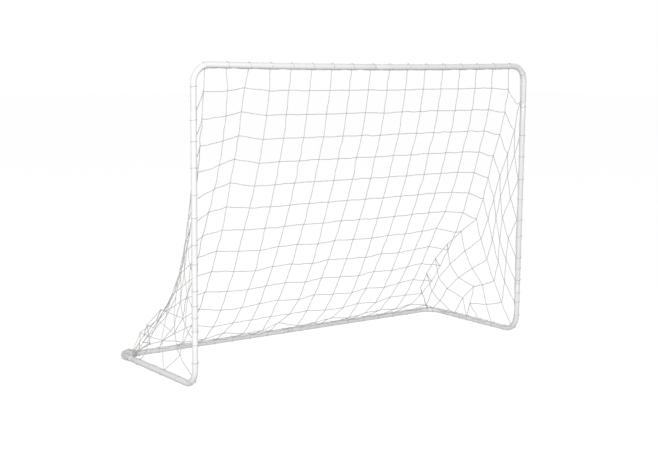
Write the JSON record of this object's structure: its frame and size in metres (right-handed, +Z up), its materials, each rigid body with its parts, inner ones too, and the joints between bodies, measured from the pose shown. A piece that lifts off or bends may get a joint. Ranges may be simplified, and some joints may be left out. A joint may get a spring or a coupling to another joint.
{
  "type": "soccer goal",
  "caption": "Portable soccer goal of bent white steel tubes with push-fit snap-button joints and a square-mesh net on the back and both sides.",
  "frame": {"origin": "on the ground, under the middle of the goal's overall box", "axes": "+X along the crossbar to the right of a player facing the goal, +Y from the mouth towards the rear bar, +Z up"},
  "size_m": [2.13, 0.76, 1.52],
  "materials": {
    "painted_steel": "white powder coat, satin",
    "button_steel": "zinc plated",
    "spring_steel": "plain spring steel strip",
    "net_cord": "white braided polyethylene cord"
  },
  "bodies": {
    "frame": {"crossbar_left": "painted_steel", "post_left": "painted_steel", "side_rail_left": "painted_steel", "rear_bar_left": "painted_steel", "crossbar_right": "painted_steel", "post_right": "painted_steel", "side_rail_right": "painted_steel", "rear_bar_right": "painted_steel", "button_spring_crossbar": "spring_steel", "button_spring_rear_bar": "spring_steel", "button_spring_post_top_left": "spring_steel", "button_spring_post_foot_left": "spring_steel", "button_spring_rail_left": "spring_steel", "button_spring_post_top_right": "spring_steel", "button_spring_post_foot_right": "spring_steel", "button_spring_rail_right": "spring_steel", "net_back": "net_cord", "net_side_left": "net_cord", "net_side_right": "net_cord"},
    "button_crossbar": {"snap_button_crossbar": "button_steel"},
    "button_rear_bar": {"snap_button_rear_bar": "button_steel"},
    "button_post_top_left": {"snap_button_post_top_left": "button_steel"},
    "button_post_foot_left": {"snap_button_post_foot_left": "button_steel"},
    "button_rail_left": {"snap_button_rail_left": "button_steel"},
    "button_post_top_right": {"snap_button_post_top_right": "button_steel"},
    "button_post_foot_right": {"snap_button_post_foot_right": "button_steel"},
    "button_rail_right": {"snap_button_rail_right": "button_steel"}
  },
  "joints": [
    {"name": "press_crossbar", "type": "slide", "parent": "frame", "child": "button_crossbar", "axis": [0, -1, 0], "range_m": [0, 0.0044], "stiffness_N_per_m": 2000, "springref_m": -0.003, "deforming": ["button_spring_crossbar"]},
    {"name": "press_rear_bar", "type": "slide", "parent": "frame", "child": "button_rear_bar", "axis": [0, 1, 0], "range_m": [0, 0.0044], "stiffness_N_per_m": 2000, "springref_m": -0.003, "deforming": ["button_spring_rear_bar"]},
    {"name": "press_post_top_left", "type": "slide", "parent": "frame", "child": "button_post_top_left", "axis": [0, -1, 0], "range_m": [0, 0.0044], "stiffness_N_per_m": 2000, "springref_m": -0.003, "deforming": ["button_spring_post_top_left"]},
    {"name": "press_post_foot_left", "type": "slide", "parent": "frame", "child": "button_post_foot_left", "axis": [0, -1, 0], "range_m": [0, 0.0044], "stiffness_N_per_m": 2000, "springref_m": -0.003, "deforming": ["button_spring_post_foot_left"]},
    {"name": "press_rail_left", "type": "slide", "parent": "frame", "child": "button_rail_left", "axis": [-1, 0, 0], "range_m": [0, 0.0044], "stiffness_N_per_m": 2000, "springref_m": -0.003, "deforming": ["button_spring_rail_left"]},
    {"name": "press_post_top_right", "type": "slide", "parent": "frame", "child": "button_post_top_right", "axis": [0, -1, 0], "range_m": [0, 0.0044], "stiffness_N_per_m": 2000, "springref_m": -0.003, "deforming": ["button_spring_post_top_right"]},
    {"name": "press_post_foot_right", "type": "slide", "parent": "frame", "child": "button_post_foot_right", "axis": [0, -1, 0], "range_m": [0, 0.0044], "stiffness_N_per_m": 2000, "springref_m": -0.003, "deforming": ["button_spring_post_foot_right"]},
    {"name": "press_rail_right", "type": "slide", "parent": "frame", "child": "button_rail_right", "axis": [1, 0, 0], "range_m": [0, 0.0044], "stiffness_N_per_m": 2000, "springref_m": -0.003, "deforming": ["button_spring_rail_right"]}
  ]
}
